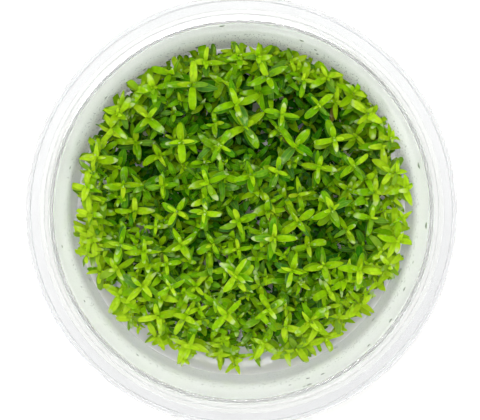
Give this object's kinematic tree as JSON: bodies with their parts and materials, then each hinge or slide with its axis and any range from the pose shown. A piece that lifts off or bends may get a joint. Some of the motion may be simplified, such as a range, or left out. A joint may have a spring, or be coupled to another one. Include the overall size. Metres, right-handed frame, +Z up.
{
  "type": "in-vitro cup of gratiola viscidula",
  "caption": "Round clear cup with a stepped rim, holding a dense green bed of small-leaved aquarium plantlets rooted in pale nutrient gel.",
  "frame": {"origin": "centre of the cup's foot ring, on the surface that it stands on", "axes": "+Z up through the cup's mouth, +Y towards the side with the label"},
  "size_m": [0.1, 0.1, 0.055],
  "materials": {
    "clear_plastic": "clear polypropylene, slightly milky, with condensation inside",
    "label_paper": "plain coated paper",
    "gel": "pale translucent jelly with a wet surface",
    "foliage": "waxy fresh green leaves, light through the thin ones"
  },
  "bodies": {
    "root": {"cup": "clear_plastic", "label": "label_paper", "nutrient_gel": "gel", "plantlet_01": "foliage", "plantlet_02": "foliage", "plantlet_03": "foliage", "plantlet_04": "foliage", "plantlet_05": "foliage", "plantlet_06": "foliage", "plantlet_07": "foliage", "plantlet_08": "foliage", "plantlet_09": "foliage", "plantlet_10": "foliage", "plantlet_11": "foliage", "plantlet_12": "foliage", "plantlet_13": "foliage", "plantlet_14": "foliage", "plantlet_15": "foliage", "plantlet_16": "foliage", "plantlet_17": "foliage", "plantlet_18": "foliage", "plantlet_19": "foliage", "plantlet_20": "foliage", "plantlet_21": "foliage", "plantlet_22": "foliage", "plantlet_23": "foliage", "plantlet_24": "foliage", "plantlet_25": "foliage", "plantlet_26": "foliage", "plantlet_27": "foliage", "plantlet_28": "foliage", "plantlet_29": "foliage", "plantlet_30": "foliage", "plantlet_31": "foliage", "plantlet_32": "foliage", "plantlet_33": "foliage", "plantlet_34": "foliage", "plantlet_35": "foliage", "plantlet_36": "foliage", "plantlet_37": "foliage", "plantlet_38": "foliage", "plantlet_39": "foliage", "plantlet_40": "foliage", "plantlet_41": "foliage", "plantlet_42": "foliage", "plantlet_43": "foliage", "plantlet_44": "foliage", "plantlet_45": "foliage", "plantlet_46": "foliage", "plantlet_47": "foliage", "plantlet_48": "foliage", "plantlet_49": "foliage", "plantlet_50": "foliage", "plantlet_51": "foliage", "plantlet_52": "foliage", "plantlet_53": "foliage", "plantlet_54": "foliage", "plantlet_55": "foliage", "plantlet_56": "foliage", "plantlet_57": "foliage"}
  },
  "joints": []
}
